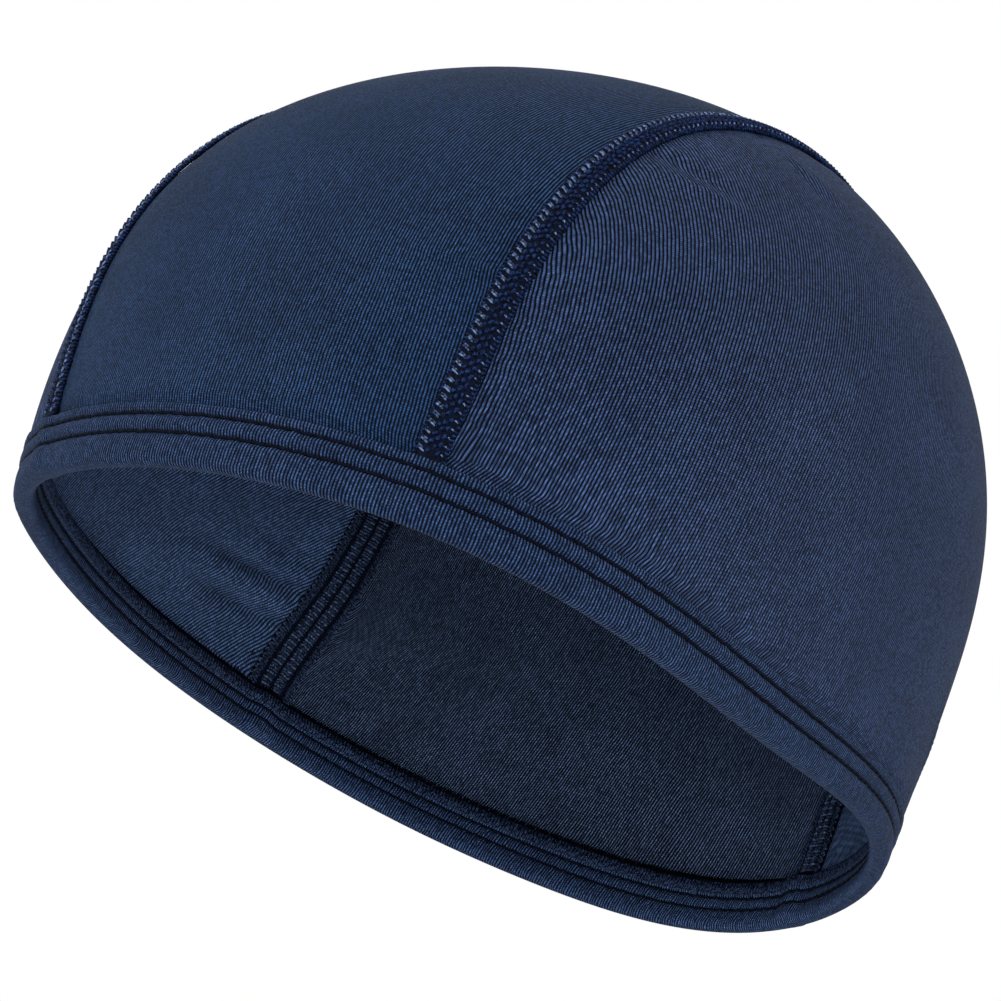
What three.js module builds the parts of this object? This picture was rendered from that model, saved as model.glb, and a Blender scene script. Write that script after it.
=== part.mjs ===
import * as THREE from 'three';

// Helmet liner cap: a thin stretch-knit skull cap, in the shape that it takes on a head.
// Millimetres. +Z runs up through the crown, the forehead is towards -Y, the wearer's left is +X,
// and the origin is in the middle of the head opening, at the level of the rim.

// The head shape that the cloth is stretched into
const headHalfLength = 100;
const headHalfWidth = 85.5;
const crownHeight = 132.5;
const widestHeight = 44;
const rimDrawIn = 4.5;
const crownSetBack = 19.3;
const crownLean = 7;

// Cloth, seams and binding
const clothThickness = 1;
const clearance = 0.3;
const bandHeight = 10.2;
const bandTurnUp = 8.8;
const bandCloth = 0.9;
const bandProud = 0.4;
const tuckRun = 2;
const seamCoverWidth = 5.2;
const seamCoverThickness = 0.8;
const leftSeamBackWidth = 7.8;
const rightSeamBackWidth = 12;
const seamBackThickness = 0.5;
const seamWebWidth = 1;

// Curvature of the dome as powers: at 1 the arch from crown to wall is an ellipse, below 1 it is
// fuller. The wall draws in towards the rim, and the crown moves back, later at a higher power.
const shoulderPower = 1.088;
const crownPower = 0.873;
const wallPower = 1.943;
const crownShiftPower = 1.785;
// Share of the way from crown to rim that lies below the widest girth
const wallShare = 0.25;
// Plan outline against an ellipse, as shares: fuller at the four corners, narrower to the back
const planCorners = -0.0134;
const planEgg = -0.043;

// Twelve places around the head, from the wearer's left (+X) towards the back (+Y), as shares:
// how far the rim and the wall's belly reach out against the plan, and how high the rim rises
const aroundRows = [
  { rimReach: -0.027, bellyReach: -0.006, rimRise: 0.014 },
  { rimReach: 0.062, bellyReach: -0.006, rimRise: 0.039 },
  { rimReach: 0.057, bellyReach: -0.007, rimRise: -0.013 },
  { rimReach: -0.035, bellyReach: -0.003, rimRise: -0.036 },
  { rimReach: -0.057, bellyReach: -0.001, rimRise: -0.016 },
  { rimReach: 0.018, bellyReach: 0.003, rimRise: 0.015 },
  { rimReach: 0.027, bellyReach: 0.006, rimRise: 0.03 },
  { rimReach: -0.033, bellyReach: 0.01, rimRise: 0.024 },
  { rimReach: -0.027, bellyReach: 0.007, rimRise: -0.005 },
  { rimReach: 0.029, bellyReach: 0.005, rimRise: -0.014 },
  { rimReach: 0.027, bellyReach: 0.001, rimRise: -0.015 },
  { rimReach: -0.055, bellyReach: -0.003, rimRise: -0.011 },
];

// The two long seams from the forehead over the crown to the nape, as shares of the way
// from the crown (0) to the top of the binding (1): across is towards +X, fore towards +Y
const leftSeamRows = [
  { across: 0.423, fore: -0.906 },
  { across: 0.328, fore: -0.697 },
  { across: 0.28, fore: -0.497 },
  { across: 0.272, fore: -0.291 },
  { across: 0.28, fore: -0.068 },
  { across: 0.291, fore: 0.17 },
  { across: 0.324, fore: 0.409 },
  { across: 0.412, fore: 0.633 },
  { across: 0.56, fore: 0.829 },
];
const rightSeamRows = [
  { across: -0.5, fore: -0.866 },
  { across: -0.456, fore: -0.661 },
  { across: -0.35, fore: -0.508 },
  { across: -0.317, fore: -0.336 },
  { across: -0.356, fore: -0.133 },
  { across: -0.429, fore: 0.082 },
  { across: -0.526, fore: 0.275 },
  { across: -0.67, fore: 0.415 },
  { across: -0.876, fore: 0.483 },
];

// Fineness of the mesh
const seamStations = 36;
const sideRows = 7;
const centreColumns = 9;
const arcBlendStations = 7;

// What follows from the sizes above, as heights off the cloth's outer face
const bandBackFace = bandProud - bandCloth;
const tuckLift = bandBackFace - clearance;
const turnUpFace = tuckLift - clothThickness - clearance;
const slotFloor = bandCloth + clearance;
const panelEdgeHeight = slotFloor + clearance;
const seamLift = -clearance;
const seamBackFace = seamLift - clothThickness - clearance;
const edgeFromSeam = seamWebWidth / 2 + clearance;
const skirtHeight = bandHeight + tuckRun;

// One column of the table of places, as a smooth wave round the head
function aroundHead(column, angle) {
  const count = aroundRows.length;
  let value = 0;
  for (let wave = 0; wave <= count / 2; wave += 1) {
    const weight = wave === 0 || wave === count / 2 ? 1 / count : 2 / count;
    aroundRows.forEach((row, index) => {
      value += weight * row[column] * Math.cos(wave * (angle - (index * 2 * Math.PI) / count));
    });
  }
  return value;
}

// A point on the outer face of the cloth. spread is a Vector2 whose length is the share of the
// way from crown to rim, and whose direction is the direction round the head in plan.
function domePoint(spread) {
  const share = spread.length();
  const angle = angleOf(spread);
  const onWall = share > 1 - wallShare;
  const rise = (Math.PI / 2) * (1 - share / (1 - wallShare));
  const fall = (share - 1 + wallShare) / wallShare;
  const height = onWall
    ? widestHeight * (1 - fall)
    : widestHeight + (crownHeight - widestHeight) * Math.sin(rise) ** crownPower;
  const drawIn = (rimDrawIn / headHalfLength) * Math.max(fall, 0) ** wallPower;
  const reach = onWall ? 1 - drawIn : Math.cos(rise) ** shoulderPower;
  const climb = THREE.MathUtils.clamp(height / crownHeight, 0, 1);
  const rimWeight = (1 - climb) ** 2;
  const bellyWeight = 4 * climb * (1 - climb);
  const plan = 1 + planCorners * Math.cos(4 * angle)
    + aroundHead('rimReach', angle) * rimWeight
    + aroundHead('bellyReach', angle) * bellyWeight;
  const shift = climb ** crownShiftPower;
  const egg = 1 + planEgg * Math.sin(angle);
  return new THREE.Vector3(
    Math.cos(angle) * headHalfWidth * egg * plan * reach + crownLean * shift,
    Math.sin(angle) * headHalfLength * plan * reach + crownSetBack * shift,
    height + aroundHead('rimRise', angle) * crownHeight * rimWeight,
  );
}

// How the dome point moves with the two shares
function domeSlopes(spread) {
  const step = 0.002;
  const along = (x, y) => domePoint(new THREE.Vector2(spread.x + x, spread.y + y));
  return {
    across: along(step, 0).sub(along(-step, 0)).divideScalar(2 * step),
    fore: along(0, step).sub(along(0, -step)).divideScalar(2 * step),
  };
}

function domeNormal(spread) {
  const slopes = domeSlopes(spread);
  return slopes.across.cross(slopes.fore).normalize();
}

// A point lifted off the cloth's outer face, or sunk below it where lift is negative
function skinPoint(spread, lift) {
  return domePoint(spread).addScaledVector(domeNormal(spread), lift);
}

// The share of the way to the rim that lies a given height above the fold of the binding
function shareAtHeight(height) {
  return 1 - (wallShare * height) / widestHeight;
}

function spreadAt(share, angle) {
  return new THREE.Vector2(Math.cos(angle), Math.sin(angle)).multiplyScalar(share);
}

function angleOf(spread) {
  return Math.atan2(spread.y, spread.x);
}

// The turn round the head that covers a given length at the top of the skirt
function turnFor(length, angle) {
  const share = shareAtHeight(skirtHeight);
  const step = 0.01;
  const stride = domePoint(spreadAt(share, angle + step)).distanceTo(domePoint(spreadAt(share, angle)));
  return (length * step) / stride;
}

// A seam: its stations from forehead to nape, and points beside it at a distance towards +X.
// The panels dip under its covers, and lie free of it a little further out.
function makeSeam(rows, backWidth) {
  const coverDistance = Math.max(seamCoverWidth, backWidth) / 2 + clearance;
  const freeDistance = coverDistance + tuckRun;
  const offsets = [
    { distance: edgeFromSeam, lift: seamLift },
    { distance: coverDistance, lift: seamLift },
    { distance: freeDistance, lift: 0 },
  ];
  const skirtShare = shareAtHeight(skirtHeight);
  const points = rows.map((row) => new THREE.Vector3(row.across, row.fore, 0));
  points[0].normalize();
  points[points.length - 1].normalize();
  const curve = new THREE.CatmullRomCurve3(points, false, 'centripetal');
  curve.arcLengthDivisions = 400;
  const places = curve.getSpacedPoints(seamStations);
  const stations = places.map((place) => new THREE.Vector2(place.x, place.y).multiplyScalar(skirtShare));
  const frontAngle = angleOf(stations[0]);
  const backAngle = angleOf(stations[seamStations]);

  function besideStation(index, distance) {
    const here = stations[index];
    if (index === 0) return spreadAt(skirtShare, frontAngle + turnFor(distance, frontAngle));
    if (index === seamStations) return spreadAt(skirtShare, backAngle - turnFor(distance, backAngle));
    const ahead = domePoint(stations[index + 1]).sub(domePoint(stations[index - 1])).normalize();
    const sideways = ahead.cross(domeNormal(here)).normalize().multiplyScalar(distance);
    const { across, fore } = domeSlopes(here);
    const aa = across.dot(across);
    const ab = across.dot(fore);
    const bb = fore.dot(fore);
    const a = across.dot(sideways);
    const b = fore.dot(sideways);
    const scale = 1 / (aa * bb - ab * ab);
    return new THREE.Vector2(here.x + (a * bb - b * ab) * scale, here.y + (b * aa - a * ab) * scale);
  }

  // Beside the seam where it runs straight down behind the binding, at the front or the back
  function besideSkirt(atBack, height, distance) {
    const angle = atBack ? backAngle : frontAngle;
    const turn = turnFor(distance, angle) * (atBack ? -1 : 1);
    return spreadAt(shareAtHeight(height), angle + turn);
  }

  return { backWidth, freeDistance, offsets, frontAngle, backAngle, besideStation, besideSkirt };
}

// Rows of a panel's skirt, from its edge in the binding's slot up to where it is free of it
const skirtLevels = [
  { height: panelEdgeHeight, tuck: 1 },
  { height: (panelEdgeHeight + bandHeight) / 2, tuck: 1 },
  { height: bandHeight + clearance / 2, tuck: 1 },
  { height: skirtHeight, tuck: 0 },
];

function skirtLift(level, lift) {
  return level.tuck * tuckLift + (1 - level.tuck) * lift;
}

// A closed body from vertices and triangles, turned so that its faces point out
function closedGeometry(positions, triangles) {
  let volume = 0;
  triangles.forEach(([a, b, c]) => {
    volume += positions[a].dot(new THREE.Vector3().crossVectors(positions[b], positions[c]));
  });
  const order = volume > 0 ? triangles : triangles.map(([a, b, c]) => [a, c, b]);
  const geometry = new THREE.BufferGeometry().setFromPoints(positions);
  geometry.setIndex(order.flat());
  geometry.computeVertexNormals();
  return geometry;
}

// A cloth panel: a mesh of places on the dome, given its thickness, with its edges closed
class Cloth {
  constructor() {
    this.places = [];
    this.faces = [];
  }

  place(spread, lift) {
    this.places.push({ spread, lift });
    return this.places.length - 1;
  }

  // Joins neighbouring rows of place numbers, and leaves out faces that shrink to a line
  weave(rows) {
    for (let row = 0; row + 1 < rows.length; row += 1) {
      for (let column = 0; column + 1 < rows[row].length; column += 1) {
        const a = rows[row][column];
        const b = rows[row][column + 1];
        const c = rows[row + 1][column + 1];
        const d = rows[row + 1][column];
        [[a, b, c], [a, c, d]].forEach((face) => {
          if (new Set(face).size === 3) this.faces.push(face);
        });
      }
    }
  }

  geometry() {
    const count = this.places.length;
    const outer = this.places.map(({ spread, lift }) => skinPoint(spread, lift));
    const inner = this.places.map(({ spread, lift }) => skinPoint(spread, lift - clothThickness));
    const edges = new Set(this.faces.flatMap(([a, b, c]) => [`${a} ${b}`, `${b} ${c}`, `${c} ${a}`]));
    const triangles = [];
    this.faces.forEach(([a, b, c]) => {
      triangles.push([a, b, c], [a + count, c + count, b + count]);
    });
    edges.forEach((edge) => {
      const [from, to] = edge.split(' ').map(Number);
      if (edges.has(`${to} ${from}`)) return;
      triangles.push([to, from, from + count], [to, from + count, to + count]);
    });
    return closedGeometry([...outer, ...inner], triangles);
  }
}

// The angles of the skirt's columns between the free lines beside two seam ends
function skirtAngles(from, to, count) {
  return Array.from({ length: count + 1 }, (_, index) => from + ((to - from) * index) / count);
}

// A side panel runs from one seam down to the binding. side is 1 at +X and -1 at -X.
function sidePanel(seam, side) {
  const cloth = new Cloth();
  const fullTurn = 2 * Math.PI;
  const frontTurn = turnFor(seam.freeDistance, seam.frontAngle);
  const backTurn = turnFor(seam.freeDistance, seam.backAngle);
  const start = seam.frontAngle + side * frontTurn;
  let span = side * (seam.backAngle - side * backTurn - start);
  span = ((span % fullTurn) + fullTurn) % fullTurn;
  const angles = skirtAngles(start, start + side * span, seamStations);
  const skirt = skirtLevels.map((level) => {
    const besideEnd = (atBack) => seam.offsets.slice(0, 2).map(({ distance, lift }) => (
      cloth.place(seam.besideSkirt(atBack, level.height, side * distance), skirtLift(level, lift))));
    const middle = angles.map((angle) => (
      cloth.place(spreadAt(shareAtHeight(level.height), angle), skirtLift(level, 0))));
    return [...besideEnd(false), ...middle, ...besideEnd(true).reverse()];
  });
  cloth.weave(skirt);

  const top = skirt[skirt.length - 1];
  const edgeColumns = 2;
  const upper = angles.map((angle, station) => {
    const foot = top[station + edgeColumns];
    const atEnd = station === 0 || station === seamStations;
    const column = [foot];
    if (atEnd) {
      for (let row = 1; row <= sideRows; row += 1) column.push(foot);
      column.push(...(station === 0 ? [top[1], top[0]] : top.slice(-edgeColumns)));
      return column;
    }
    const low = cloth.places[foot].spread;
    const high = seam.besideStation(station, side * seam.freeDistance);
    for (let row = 1; row <= sideRows; row += 1) {
      column.push(cloth.place(low.clone().lerp(high, row / sideRows), 0));
    }
    [seam.offsets[1], seam.offsets[0]].forEach(({ distance, lift }) => {
      column.push(cloth.place(seam.besideStation(station, side * distance), lift));
    });
    return column;
  });
  cloth.weave(upper.toReversed());
  return cloth.geometry();
}

// The centre panel runs from the forehead over the crown to the nape, between the two seams
function centrePanel(left, right) {
  const cloth = new Cloth();
  const inwards = right.offsets;
  const outwards = left.offsets.toReversed();

  // Places between the two free lines: straight over the crown, round the head near the binding
  function middle(from, to, roundness, lift) {
    const apart = angleOf(to) - angleOf(from);
    const turn = THREE.MathUtils.euclideanModulo(apart + Math.PI, 2 * Math.PI) - Math.PI;
    return Array.from({ length: centreColumns - 1 }, (_, index) => {
      const share = (index + 1) / centreColumns;
      const straight = from.clone().lerp(to, share);
      const radius = THREE.MathUtils.lerp(from.length(), to.length(), share);
      const round = spreadAt(radius, angleOf(from) + turn * share);
      return cloth.place(straight.lerp(round, roundness), lift);
    });
  }

  function skirtRow(atBack, level) {
    const rightPlaces = inwards.map((step) => right.besideSkirt(atBack, level.height, step.distance));
    const leftPlaces = outwards.map((step) => left.besideSkirt(atBack, level.height, -step.distance));
    return [
      ...rightPlaces.map((spread, index) => cloth.place(spread, skirtLift(level, inwards[index].lift))),
      ...middle(rightPlaces[2], leftPlaces[0], 1, skirtLift(level, 0)),
      ...leftPlaces.map((spread, index) => cloth.place(spread, skirtLift(level, outwards[index].lift))),
    ];
  }

  function crownRow(station) {
    const fromEnd = Math.min(station, seamStations - station) / arcBlendStations;
    const roundness = 1 - THREE.MathUtils.smoothstep(fromEnd, 0, 1);
    const rightPlaces = inwards.map((step) => right.besideStation(station, step.distance));
    const leftPlaces = outwards.map((step) => left.besideStation(station, -step.distance));
    return [
      ...rightPlaces.map((spread, index) => cloth.place(spread, inwards[index].lift)),
      ...middle(rightPlaces[2], leftPlaces[0], roundness, 0),
      ...leftPlaces.map((spread, index) => cloth.place(spread, outwards[index].lift)),
    ];
  }

  const rows = skirtLevels.map((level) => skirtRow(false, level));
  for (let station = 1; station < seamStations; station += 1) rows.push(crownRow(station));
  skirtLevels.toReversed().forEach((level) => rows.push(skirtRow(true, level)));
  cloth.weave(rows);
  return cloth.geometry();
}

// Joins a list of sections with as many points each; the ends are capped unless it is a ring
function loft(sections, isRing) {
  const size = sections[0].length;
  const positions = sections.flat();
  const triangles = [];
  const bays = isRing ? sections.length : sections.length - 1;
  for (let bay = 0; bay < bays; bay += 1) {
    const here = bay * size;
    const next = ((bay + 1) % sections.length) * size;
    for (let index = 0; index < size; index += 1) {
      const beside = (index + 1) % size;
      triangles.push([here + index, here + beside, next + beside]);
      triangles.push([here + index, next + beside, next + index]);
    }
  }
  return { positions, triangles };
}

// A flatlock seam: a cover on the outside and a wider one inside, joined through the gap
// between the panels, whose edges lie between the two covers
function flatlockSeam(seam) {
  const coverHalf = seamCoverWidth / 2;
  const backHalf = seam.backWidth / 2;
  const webHalf = seamWebWidth / 2;
  const round = coverHalf * 0.3;
  const backDrop = seamBackFace - seamBackThickness;
  const section = [
    { beside: -coverHalf, lift: 0, outside: true },
    { beside: -coverHalf, lift: seamCoverThickness / 2, outside: true },
    { beside: -coverHalf + round, lift: seamCoverThickness, outside: true },
    { beside: coverHalf - round, lift: seamCoverThickness, outside: true },
    { beside: coverHalf, lift: seamCoverThickness / 2, outside: true },
    { beside: coverHalf, lift: 0, outside: true },
    { beside: webHalf, lift: 0, outside: true },
    { beside: webHalf, lift: seamBackFace, outside: false },
    { beside: backHalf, lift: seamBackFace, outside: false },
    { beside: backHalf, lift: backDrop, outside: false },
    { beside: -backHalf, lift: backDrop, outside: false },
    { beside: -backHalf, lift: seamBackFace, outside: false },
    { beside: -webHalf, lift: seamBackFace, outside: false },
    { beside: -webHalf, lift: 0, outside: true },
  ];
  // The outer cover ends on the binding. The back cover sinks with the tucked cloth and runs on
  // down to the edge of the turn-up.
  const coverEnd = bandHeight + clearance;
  const ends = [
    { coverHeight: coverEnd, backHeight: bandTurnUp + clearance },
    { coverHeight: (coverEnd + skirtHeight) / 2, backHeight: bandHeight + clearance / 2 },
  ];
  const endSection = (atBack, end) => section.map(({ beside, lift, outside }) => (outside
    ? skinPoint(seam.besideSkirt(atBack, end.coverHeight, beside), lift)
    : skinPoint(seam.besideSkirt(atBack, end.backHeight, beside), lift + tuckLift - seamLift)));
  const sections = ends.map((end) => endSection(false, end));
  for (let station = 0; station <= seamStations; station += 1) {
    sections.push(section.map(({ beside, lift }) => skinPoint(seam.besideStation(station, beside), lift)));
  }
  sections.push(...ends.toReversed().map((end) => endSection(true, end)));
  const { positions, triangles } = loft(sections, false);
  const last = (sections.length - 1) * section.length;
  const capLoop = section.map(({ beside, lift }) => new THREE.Vector2(beside, lift));
  THREE.ShapeUtils.triangulateShape(capLoop, []).forEach(([a, b, c]) => {
    triangles.push([a, b, c], [last + a, last + c, last + b]);
  });
  return closedGeometry(positions, triangles);
}

// The binding: a strip folded round the panels' edges, taller outside than inside
function hemBand(left, right) {
  const inside = turnUpFace - bandCloth;
  const rounding = bandCloth / 2;
  const profile = [
    { lift: bandProud, height: bandCloth },
    { lift: bandProud, height: bandHeight - rounding },
    { lift: bandProud - rounding, height: bandHeight },
    { lift: bandBackFace, height: bandHeight - rounding },
    { lift: bandBackFace, height: slotFloor },
    { lift: turnUpFace, height: slotFloor },
    { lift: turnUpFace, height: bandTurnUp - rounding },
    { lift: turnUpFace - rounding, height: bandTurnUp },
    { lift: inside, height: bandTurnUp - rounding },
    { lift: inside, height: bandCloth },
    { lift: turnUpFace, height: 0 },
    { lift: bandBackFace, height: 0 },
  ];
  const turns = [left, right].flatMap((seam) => [false, true].flatMap((atBack) => {
    const angle = atBack ? seam.backAngle : seam.frontAngle;
    return [-1, 1].flatMap((side) => seam.offsets.map(({ distance }) => (
      angle + side * turnFor(distance, angle))));
  }));
  const free = (seam, atBack, side) => {
    const angle = atBack ? seam.backAngle : seam.frontAngle;
    return angle + side * turnFor(seam.freeDistance, angle);
  };
  const fullTurn = 2 * Math.PI;
  const between = (from, to, count) => {
    const span = THREE.MathUtils.euclideanModulo(to - from, fullTurn);
    return skirtAngles(from, from + span, count).slice(1, -1);
  };
  const angles = [
    ...turns,
    ...between(free(left, false, 1), free(left, true, -1), seamStations),
    ...between(free(left, true, 1), free(right, true, -1), centreColumns),
    ...between(free(right, true, 1), free(right, false, -1), seamStations),
    ...between(free(right, false, 1), free(left, false, -1), centreColumns),
  ].map((angle) => THREE.MathUtils.euclideanModulo(angle, fullTurn)).sort((a, b) => a - b);
  const sections = angles.map((angle) => profile.map(({ lift, height }) => (
    skinPoint(spreadAt(shareAtHeight(height), angle), lift))));
  const { positions, triangles } = loft(sections, true);
  return closedGeometry(positions, triangles);
}

// Navy polyester and spandex, with darker thread in the seams
function clothMaterial(colour) {
  return new THREE.MeshStandardMaterial({ color: colour, roughness: 0.8, metalness: 0 });
}

function piece(name, geometry, material) {
  const mesh = new THREE.Mesh(geometry, material);
  mesh.name = name;
  return mesh;
}

const leftSeam = makeSeam(leftSeamRows, leftSeamBackWidth);
const rightSeam = makeSeam(rightSeamRows, rightSeamBackWidth);
const panelKnit = clothMaterial('#2b3c5a');
const bindingKnit = clothMaterial('#283a5c');
const seamThread = clothMaterial('#121d38');

const cap = new THREE.Group();
cap.name = 'helmet_liner_cap';
cap.add(piece('centre_panel', centrePanel(leftSeam, rightSeam), panelKnit));
cap.add(piece('left_side_panel', sidePanel(leftSeam, 1), panelKnit));
cap.add(piece('right_side_panel', sidePanel(rightSeam, -1), panelKnit));
cap.add(piece('left_flatlock_seam', flatlockSeam(leftSeam), seamThread));
cap.add(piece('right_flatlock_seam', flatlockSeam(rightSeam), seamThread));
cap.add(piece('hem_band', hemBand(leftSeam, rightSeam), bindingKnit));

export default cap;
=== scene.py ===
import math

import bmesh
import bpy
import numpy as np
from mathutils import Matrix, Vector, kdtree


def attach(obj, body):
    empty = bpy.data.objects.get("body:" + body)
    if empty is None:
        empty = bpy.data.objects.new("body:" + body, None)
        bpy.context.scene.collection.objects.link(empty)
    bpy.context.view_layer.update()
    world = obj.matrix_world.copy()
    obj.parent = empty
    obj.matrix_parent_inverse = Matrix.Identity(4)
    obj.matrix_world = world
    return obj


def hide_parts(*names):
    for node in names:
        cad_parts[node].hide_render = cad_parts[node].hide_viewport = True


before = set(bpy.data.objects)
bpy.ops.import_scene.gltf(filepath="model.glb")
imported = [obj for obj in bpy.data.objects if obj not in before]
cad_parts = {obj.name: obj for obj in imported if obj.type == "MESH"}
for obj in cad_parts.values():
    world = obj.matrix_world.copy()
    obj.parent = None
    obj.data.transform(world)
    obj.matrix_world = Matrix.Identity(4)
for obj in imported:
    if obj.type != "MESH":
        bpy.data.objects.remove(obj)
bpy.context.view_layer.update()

# The head shape that the cloth is stretched into
headShape = {
    "halfLength": 100.0,
    "halfWidth": 85.5,
    "crownHeight": 132.5,
    "widestHeight": 44.0,
    "rimDrawIn": 4.5,
    "setBack": 19.3,
    "lean": 7.0,
    "shoulderPower": 1.088,  # at 1 the arch is an ellipse, below 1 it is fuller
    "crownPower": 0.873,
    "wallPower": 1.943,
    "shiftPower": 1.785,
    "wallShare": 0.25,  # the part of the way from crown to rim that is wall
    "corners": -0.0134,
    "egg": -0.043,
    # rim reach, belly reach and rim rise at twelve places, from the wearer's left to the back
    "around": [
        (-0.027, -0.006, 0.014), (0.062, -0.006, 0.039), (0.057, -0.007, -0.013),
        (-0.035, -0.003, -0.036), (-0.057, -0.001, -0.016), (0.018, 0.003, 0.015),
        (0.027, 0.006, 0.03), (-0.033, 0.01, 0.024), (-0.027, 0.007, -0.005),
        (0.029, 0.005, -0.014), (0.027, 0.001, -0.015), (-0.055, -0.003, -0.011),
    ],
}

# The seams' courses from forehead to nape, as shares of the way from crown to binding
seamCourses = {
    "left": [
        (0.423, -0.906), (0.328, -0.697), (0.28, -0.497), (0.272, -0.291), (0.28, -0.068),
        (0.291, 0.17), (0.324, 0.409), (0.412, 0.633), (0.56, 0.829),
    ],
    "right": [
        (-0.5, -0.866), (-0.456, -0.661), (-0.35, -0.508), (-0.317, -0.336), (-0.356, -0.133),
        (-0.429, 0.082), (-0.526, 0.275), (-0.67, 0.415), (-0.876, 0.483),
    ],
}

cloth = {
    "thickness": 1.0,
    "edgeHeight": 1.5,  # where the panels end, inside the folded binding
    "tuck": -0.8,  # how far the panels sink between the binding's two legs
    "tuckRun": 2.4,
    "bandTop": 10.2,
    "seamDip": -0.22,
    "seamEdge": 0.8,
    "seamCover": {"left": 3.6, "right": 5.6},
    "seamRun": 2.4,
}


def smoothStep(value):
    value = np.clip(value, 0, 1)
    return value * value * (3 - 2 * value)


def aroundTables():
    angles = np.linspace(0, 2 * np.pi, 1441)
    rows = np.array(headShape["around"])
    count = len(rows)
    tables = np.zeros((3, len(angles)))
    for wave in range(count // 2 + 1):
        weight = 1 / count if wave in (0, count // 2) else 2 / count
        for place, row in enumerate(rows):
            swing = np.cos(wave * (angles - place * 2 * np.pi / count))
            tables += weight * row[:, None] * swing
    return angles, tables


tableAngles, tableValues = aroundTables()


# Points on the cloth's outer face. The length of spread is the share of the way from crown to
# rim, and its direction is the direction round the head.
def domePoint(spread):
    shape = headShape
    share = np.hypot(spread[..., 0], spread[..., 1])
    angle = angleOf(spread)
    turn = np.mod(angle, 2 * np.pi)
    rimReach, bellyReach, rimRise = [np.interp(turn, tableAngles, row) for row in tableValues]
    wall = shape["wallShare"]
    rise = np.clip(np.pi / 2 * (1 - share / (1 - wall)), 0, np.pi / 2)
    fall = np.maximum((share - 1 + wall) / wall, 0)
    onWall = share > 1 - wall
    domeHeight = shape["crownHeight"] - shape["widestHeight"]
    height = np.where(
        onWall,
        shape["widestHeight"] * (1 - fall),
        shape["widestHeight"] + domeHeight * np.sin(rise) ** shape["crownPower"],
    )
    drawIn = shape["rimDrawIn"] / shape["halfLength"] * fall ** shape["wallPower"]
    reach = np.where(onWall, 1 - drawIn, np.cos(rise) ** shape["shoulderPower"])
    climb = np.clip(height / shape["crownHeight"], 0, 1)
    rimWeight = (1 - climb) ** 2
    plan = 1 + shape["corners"] * np.cos(4 * angle)
    plan = plan + rimReach * rimWeight + bellyReach * 4 * climb * (1 - climb)
    shift = climb ** shape["shiftPower"]
    egg = 1 + shape["egg"] * np.sin(angle)
    return np.stack([
        np.cos(angle) * shape["halfWidth"] * egg * plan * reach + shape["lean"] * shift,
        np.sin(angle) * shape["halfLength"] * plan * reach + shape["setBack"] * shift,
        height + rimRise * shape["crownHeight"] * rimWeight,
    ], axis=-1)


def domeSlopes(spread):
    step = 0.002
    across = (domePoint(spread + [step, 0]) - domePoint(spread - [step, 0])) / (2 * step)
    fore = (domePoint(spread + [0, step]) - domePoint(spread - [0, step])) / (2 * step)
    return across, fore


def unit(vectors):
    return vectors / np.maximum(np.linalg.norm(vectors, axis=-1, keepdims=True), 1e-9)


def domeNormal(spread):
    across, fore = domeSlopes(spread)
    return unit(np.cross(across, fore))


def skinPoint(spread, lift):
    return domePoint(spread) + domeNormal(spread) * np.asarray(lift)[..., None]


def shareAtHeight(height):
    return 1 - headShape["wallShare"] * np.asarray(height, float) / headShape["widestHeight"]


def heightAtShare(share):
    return (1 - share) * headShape["widestHeight"] / headShape["wallShare"]


def spreadAt(share, angle):
    share, angle = np.broadcast_arrays(share, angle)
    return np.stack([share * np.cos(angle), share * np.sin(angle)], axis=-1)


def angleOf(spread):
    return np.arctan2(spread[..., 1], spread[..., 0])


def runningLength(points):
    steps = np.linalg.norm(np.diff(points, axis=0), axis=-1)
    return np.concatenate([np.zeros_like(steps[:1]), np.cumsum(steps, axis=0)])


# A smooth curve through a seam's places, evenly paced
def smoothCourse(places, count):
    points = np.array(places, float)
    points = np.vstack([2 * points[0] - points[1], points, 2 * points[-1] - points[-2]])
    fine = []
    for index in range(1, len(points) - 2):
        before, start, end, after = points[index - 1:index + 3]
        gapBefore, gap, gapAfter = [
            np.linalg.norm(b - a) ** 0.5 for a, b in [(before, start), (start, end), (end, after)]
        ]
        leave = (start - before) / gapBefore - (end - before) / (gapBefore + gap) + (end - start) / gap
        arrive = (end - start) / gap - (after - start) / (gap + gapAfter) + (after - end) / gapAfter
        leave, arrive = leave * gap, arrive * gap
        t = np.linspace(0, 1, 60, endpoint=False)[:, None]
        cubic = 2 * start - 2 * end + leave + arrive
        square = -3 * start + 3 * end - 2 * leave - arrive
        fine.append(start + leave * t + square * t ** 2 + cubic * t ** 3)
    fine = np.vstack(fine + [points[-2:-1]])
    length = runningLength(fine)
    paced = np.linspace(0, length[-1], count)
    return np.stack([np.interp(paced, length, fine[:, axis]) for axis in range(2)], axis=-1)


seamStations = 260  # steps along a seam, from the top of the skirt to the top of the skirt
skirtSteps = 23  # steps up the skirt, the panels' lowest part, which the binding grips
skirtTop = cloth["bandTop"] + 2
roundHead = 90  # millimetres of girth to a radian


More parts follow.
